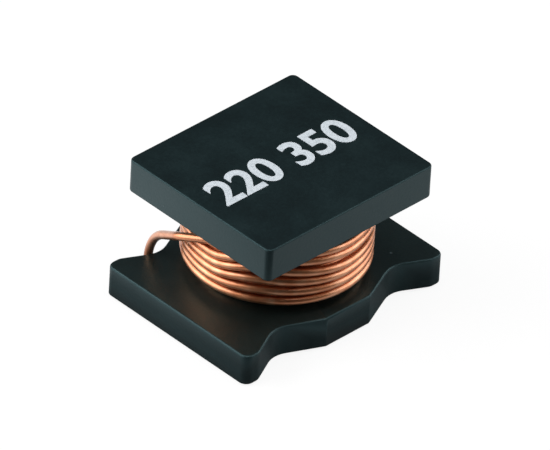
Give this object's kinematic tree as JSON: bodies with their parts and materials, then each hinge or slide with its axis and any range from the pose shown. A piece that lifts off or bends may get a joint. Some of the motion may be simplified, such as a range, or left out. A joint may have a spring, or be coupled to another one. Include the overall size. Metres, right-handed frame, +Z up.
{
  "type": "chip choke",
  "caption": "Surface-mount wire-wound choke: copper wire on a ferrite drum with a notched base, an upper flange and two terminals underneath.",
  "frame": {"origin": "centre of the footprint, on the plane of the terminals' soldered faces", "axes": "+X along the notched sides of the base, from the finish terminal to the start terminal; +Y across them, towards the side with the two leads; +Z up from the board"},
  "size_m": [0.0044, 0.0034, 0.0026],
  "materials": {
    "ferrite": "fired, fine satin grain",
    "enamelled_copper": "drawn copper wire under clear enamel",
    "tinned_terminal": "matte tin plating",
    "solder": "reflowed tin solder, satin"
  },
  "bodies": {
    "root": {"drum_core": "ferrite", "winding": "enamelled_copper", "terminal_start": "tinned_terminal", "terminal_finish": "tinned_terminal", "solder_start": "solder", "solder_finish": "solder"}
  },
  "joints": []
}
